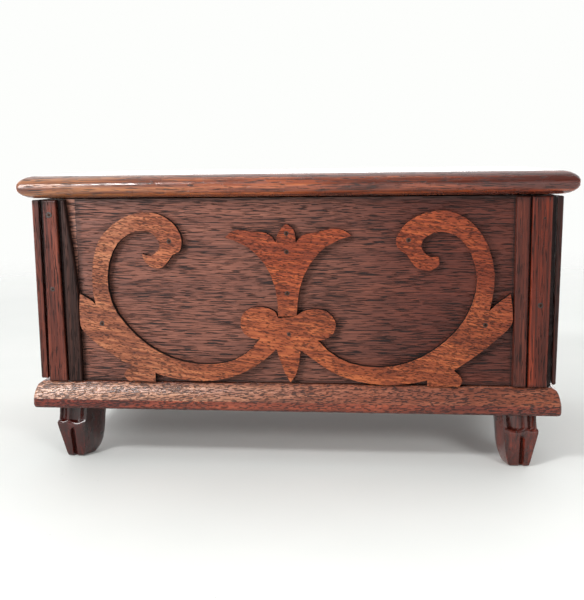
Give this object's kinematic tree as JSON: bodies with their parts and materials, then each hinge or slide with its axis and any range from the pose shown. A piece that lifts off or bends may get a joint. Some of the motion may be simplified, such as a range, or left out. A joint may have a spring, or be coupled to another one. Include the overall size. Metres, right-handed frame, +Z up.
{
  "type": "cylinder music box",
  "caption": "Wooden cylinder music box on carved feet: scroll fretwork front, hinged lid, comb and pinned cylinder movement under glass.",
  "frame": {"origin": "on the floor, under the middle of the box's outline", "axes": "+X along the front to the right as seen from the front, +Y from the front to the back, +Z up"},
  "size_m": [0.284, 0.17, 0.1526],
  "materials": {
    "mahogany_base": "satin shellac over open-pored mahogany",
    "mahogany_panel": "dark purple-brown stain, thin satin finish",
    "mahogany_strip": "satin red-brown stain",
    "mahogany_lid": "glossy red-brown polish",
    "mahogany_foot": "glossy dark red-brown polish",
    "mahogany_fretwork": "satin orange-brown, lighter than the panel",
    "pine": "bare planed softwood",
    "brass": "brushed and lacquered",
    "steel": "fine ground",
    "blued_steel": "blued spring steel",
    "cast_iron": "dark painted casting",
    "glass": "clear sheet glass",
    "card": "plain card with a printed border and no words"
  },
  "bodies": {
    "case": {"base_board": "mahogany_base", "front_panel": "mahogany_panel", "back_panel": "mahogany_panel", "left_end_panel": "mahogany_panel", "right_end_panel": "mahogany_panel", "front_left_foot": "mahogany_foot", "front_right_foot": "mahogany_foot", "back_left_foot": "mahogany_foot", "back_right_foot": "mahogany_foot", "left_outer_front_strip": "mahogany_strip", "left_inner_front_strip": "mahogany_strip", "right_inner_front_strip": "mahogany_strip", "right_outer_front_strip": "mahogany_strip", "left_front_side_strip": "mahogany_strip", "left_back_side_strip": "mahogany_strip", "right_front_side_strip": "mahogany_strip", "right_back_side_strip": "mahogany_strip", "scroll_fretwork": "mahogany_fretwork", "tulip_fretwork": "mahogany_fretwork", "left_hinge_case_leaf": "brass", "right_hinge_case_leaf": "brass", "left_hinge_pin": "brass", "right_hinge_pin": "brass", "left_partition": "pine", "right_partition": "pine", "glass_frame": "mahogany_strip", "glass_pane": "glass", "front_bed_rail": "pine", "back_bed_rail": "pine", "bedplate": "cast_iron", "left_bracket": "brass", "middle_bracket": "brass", "right_bracket": "brass", "barrel_arbor": "steel", "ratchet_wheel": "steel", "mainspring": "blued_steel", "comb": "steel", "comb_base": "brass", "governor_frame": "brass", "governor_cock": "brass"},
    "lid": {"lid_board": "mahogany_lid", "tune_card": "card", "left_hinge_lid_leaf": "brass", "right_hinge_lid_leaf": "brass"},
    "cylinder": {"cylinder_tube": "brass", "cylinder_left_cap": "brass", "cylinder_right_cap": "brass", "cylinder_arbor": "steel", "great_wheel": "brass", "spring_barrel": "brass", "barrel_cover": "brass"},
    "second_arbor": {"second_arbor": "steel", "pinion": "steel", "worm_wheel": "brass"},
    "endless_screw": {"endless_screw": "steel", "fan": "brass"},
    "winding_lever": {"winding_lever": "brass", "winding_knob": "mahogany_strip"},
    "click": {"click": "steel"},
    "stop_lever": {"stop_lever": "brass"}
  },
  "joints": [
    {"name": "lid_hinge", "type": "hinge", "parent": "case", "child": "lid", "pos_m": [0, 0.0827, 0.13915], "axis": [-1, 0, 0], "range_deg": [0, 100]},
    {"name": "cylinder_turn", "type": "hinge", "parent": "case", "child": "cylinder", "pos_m": [0, 0.012, 0.0984], "axis": [1, 0, 0], "continuous": true},
    {"name": "second_arbor_turn", "type": "hinge", "parent": "case", "child": "second_arbor", "pos_m": [0, -0.012, 0.08398], "axis": [1, 0, 0], "continuous": true},
    {"name": "endless_screw_turn", "type": "hinge", "parent": "case", "child": "endless_screw", "pos_m": [0.082, -0.0244, 0], "axis": [0, 0, 1], "continuous": true},
    {"name": "winding_lever_swing", "type": "hinge", "parent": "case", "child": "winding_lever", "pos_m": [0, 0.012, 0.0984], "axis": [1, 0, 0], "range_deg": [0, 100]},
    {"name": "click_lift", "type": "hinge", "parent": "case", "child": "click", "pos_m": [0, 0.0255, 0.0849], "axis": [-1, 0, 0], "range_deg": [0, 12], "stiffness_Nm_per_rad": 0.02, "springref_deg": -17.19},
    {"name": "stop_lever_swing", "type": "hinge", "parent": "case", "child": "stop_lever", "pos_m": [0.09, -0.05, 0], "axis": [0, 0, 1], "range_deg": [0, 22]}
  ],
  "couplings": [
    {"joint": "second_arbor_turn", "follows": "cylinder_turn", "ratio": -6},
    {"joint": "endless_screw_turn", "follows": "cylinder_turn", "ratio": -180}
  ]
}
